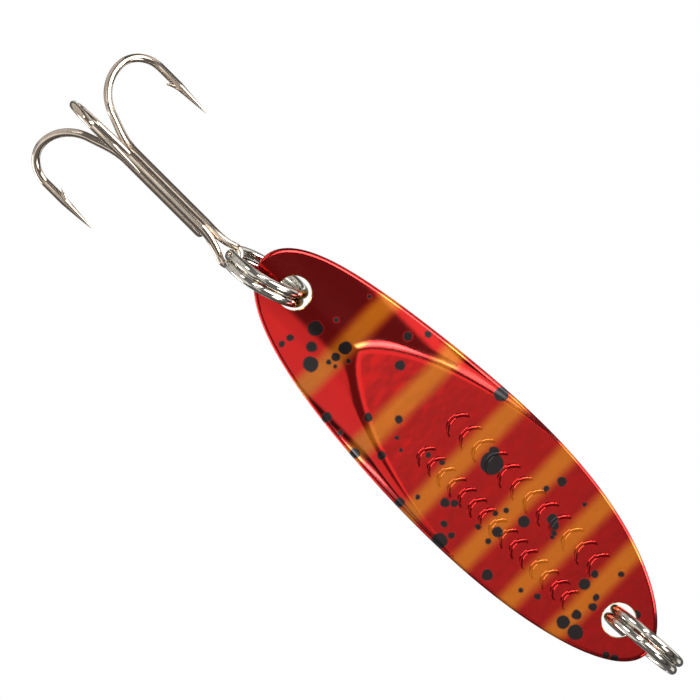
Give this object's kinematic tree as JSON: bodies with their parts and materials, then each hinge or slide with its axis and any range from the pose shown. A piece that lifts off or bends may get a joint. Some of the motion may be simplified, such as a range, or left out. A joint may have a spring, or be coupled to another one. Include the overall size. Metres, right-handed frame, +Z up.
{
  "type": "spoon lure",
  "caption": "Slim oval casting spoon cut from brass bar, with a split ring at each end and a brazed treble hook that swings freely.",
  "frame": {"origin": "the line tie: the middle of the split ring's wire at the top of the nose ring, where the fishing line is knotted", "axes": "+Z up the lure towards the line, as it hangs; -Y out of the blade's front face; +X to the right seen from the front"},
  "size_m": [0.0128, 0.0106, 0.0572],
  "materials": {
    "ring_nickel": "bright nickel plate on hard steel wire",
    "lacquered_brass": "translucent red lacquer over plated brass, gold cross bands, black spatter, clear coat",
    "hook_nickel": "nickel plate on high-carbon steel wire",
    "braze": "nickel plated over the braze"
  },
  "bodies": {
    "nose_ring": {"nose_split_ring": "ring_nickel"},
    "blade": {"spoon_blade": "lacquered_brass"},
    "tail_ring": {"tail_split_ring": "ring_nickel"},
    "treble": {"treble_double_hook": "hook_nickel", "treble_single_hook": "hook_nickel", "braze_fillet_front": "braze", "braze_fillet_back": "braze"}
  },
  "joints": [
    {"name": "blade_swing", "type": "hinge", "parent": "nose_ring", "child": "blade", "pos_m": [0.0005, 0.0008, -0.00503], "axis": [0, 1, 0], "range_deg": [-90, 90]},
    {"name": "tail_ring_slide_round", "type": "hinge", "parent": "blade", "child": "tail_ring", "pos_m": [0.00091, 0.0016, -0.03906], "axis": [0.9491, 0.2079, 0.2366], "range_deg": [-90, 90]},
    {"name": "treble_swing", "type": "hinge", "parent": "tail_ring", "child": "treble", "pos_m": [0.0016, 0.0016, -0.04184], "axis": [-0.2017, 0.9782, -0.0503], "range_deg": [-75, 75]}
  ]
}
